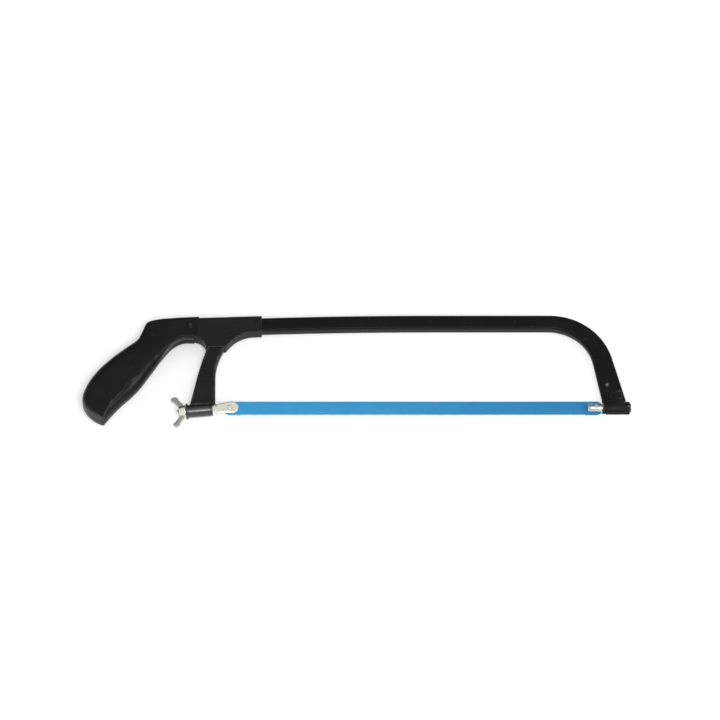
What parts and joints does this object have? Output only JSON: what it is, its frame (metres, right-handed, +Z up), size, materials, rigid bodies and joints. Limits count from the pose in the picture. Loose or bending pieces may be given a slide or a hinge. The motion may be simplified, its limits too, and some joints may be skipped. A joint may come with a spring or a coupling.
{
  "type": "hacksaw frame",
  "caption": "Fixed-length hacksaw frame of bent tube with a pistol grip, a canted tension bolt with a wing nut, and a blue blade hooked between two pins.",
  "frame": {"origin": "middle of the box round the part, on the surface that it lies on", "axes": "+X along the blade from the handle to the nose, +Y from the blade to the frame's back, +Z up out of the saw's plane"},
  "size_m": [0.4484, 0.0991, 0.0261],
  "materials": {
    "black_paint": "black stove enamel on steel, satin",
    "black_plastic": "black moulded plastic, satin",
    "zinc": "bright zinc plate on steel",
    "blue_paint": "blue lacquer on blade steel"
  },
  "bodies": {
    "frame": {"frame_tube": "black_paint", "bracket": "black_paint", "rear_leg": "black_paint", "guide_bush": "black_paint", "nose_block": "black_paint", "nose_rivet": "zinc", "tube_pin": "black_paint", "handle_near": "black_plastic", "handle_far": "black_plastic", "handle_rivet": "black_paint", "handle_screw_mid": "zinc", "handle_screw_butt": "zinc"},
    "wing_nut": {"wing_nut": "zinc"},
    "tension_bolt": {"tension_bolt": "zinc", "rear_blade_pin": "zinc"},
    "front_holder": {"front_holder": "zinc", "front_blade_pin": "zinc", "front_retainer": "zinc"},
    "blade": {"blade": "blue_paint"}
  },
  "joints": [
    {"name": "wing_nut_turn", "type": "hinge", "parent": "frame", "child": "wing_nut", "pos_m": [-0.14263, -0.03554, 0.01305], "axis": [-0.9962, -0.0872, 0], "range_deg": [0, 720]},
    {"name": "tension_slide", "type": "slide", "parent": "frame", "child": "tension_bolt", "axis": [0.9962, 0.0872, 0], "range_m": [0, 0.002]},
    {"name": "front_holder_slide", "type": "slide", "parent": "frame", "child": "front_holder", "axis": [1, 0, 0], "range_m": [0, 0.002]},
    {"name": "blade_unhook", "type": "slide", "parent": "tension_bolt", "child": "blade", "axis": [0, 0, -1], "range_m": [0, 0.0048]}
  ],
  "couplings": [
    {"joint": "wing_nut_turn", "follows": "tension_slide", "rad_per_m": 6283.2},
    {"joint": "front_holder_slide", "follows": "tension_slide", "ratio": 1}
  ]
}
